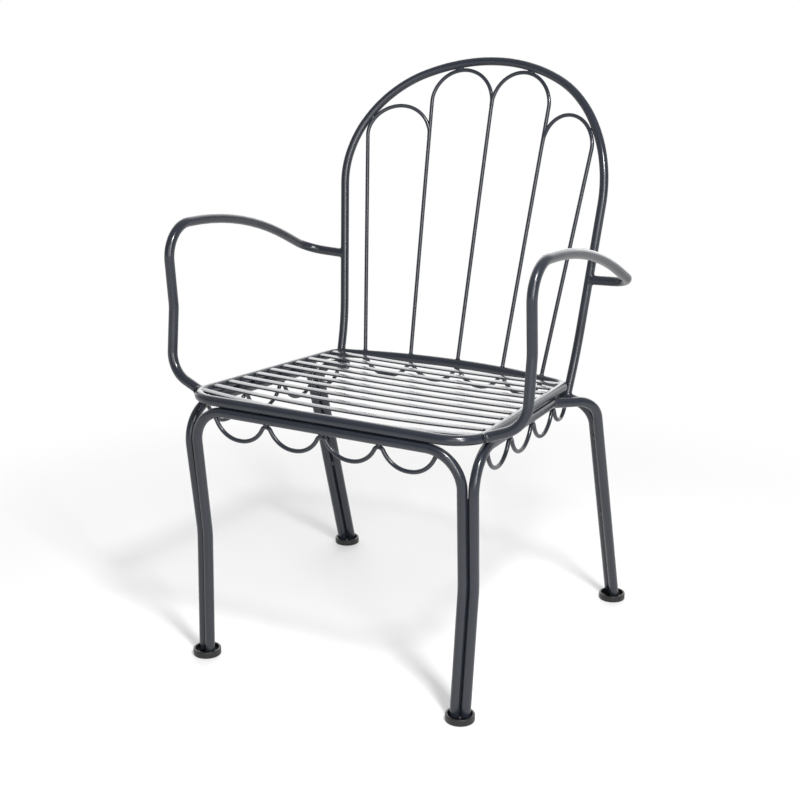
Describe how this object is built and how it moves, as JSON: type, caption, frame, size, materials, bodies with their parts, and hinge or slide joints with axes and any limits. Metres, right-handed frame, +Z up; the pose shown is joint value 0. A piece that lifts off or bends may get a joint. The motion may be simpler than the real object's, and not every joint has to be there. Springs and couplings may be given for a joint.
{
  "type": "metal garden chair",
  "caption": "Welded metal garden armchair with a slatted seat, tubular legs and arms, a scalloped rod apron and an arched back of petal-topped rods.",
  "frame": {"origin": "on the floor, under the middle of the chair's bounding box", "axes": "+X to the right of someone facing the chair, +Y to the chair's back, +Z up"},
  "size_m": [0.6132, 0.5948, 0.8971],
  "materials": {
    "frame_paint": "dark grey semi-gloss powder coat",
    "cap_plastic": "matt black moulded plastic"
  },
  "bodies": {
    "root": {"back_centre_rod": "frame_paint", "back_hoop": "frame_paint", "front_leg_hoop": "frame_paint", "front_scallop": "frame_paint", "left_arm": "frame_paint", "left_front_foot_cap": "cap_plastic", "left_front_leg_tacks": "frame_paint", "left_inner_petal": "frame_paint", "left_outer_petal": "frame_paint", "left_rear_foot_cap": "cap_plastic", "left_rear_leg_tacks": "frame_paint", "left_rear_leg_tube": "frame_paint", "left_side_hoop": "frame_paint", "left_side_scallop": "frame_paint", "rear_scallop": "frame_paint", "right_arm": "frame_paint", "right_front_foot_cap": "cap_plastic", "right_front_leg_tacks": "frame_paint", "right_inner_petal": "frame_paint", "right_outer_petal": "frame_paint", "right_rear_foot_cap": "cap_plastic", "right_rear_leg_tacks": "frame_paint", "right_rear_leg_tube": "frame_paint", "right_side_hoop": "frame_paint", "right_side_scallop": "frame_paint", "seat_ring": "frame_paint", "seat_slat_01": "frame_paint", "seat_slat_02": "frame_paint", "seat_slat_03": "frame_paint", "seat_slat_04": "frame_paint", "seat_slat_05": "frame_paint", "seat_slat_06": "frame_paint", "seat_slat_07": "frame_paint", "seat_slat_08": "frame_paint", "seat_slat_09": "frame_paint", "seat_slat_10": "frame_paint", "seat_slat_11": "frame_paint"}
  },
  "joints": []
}
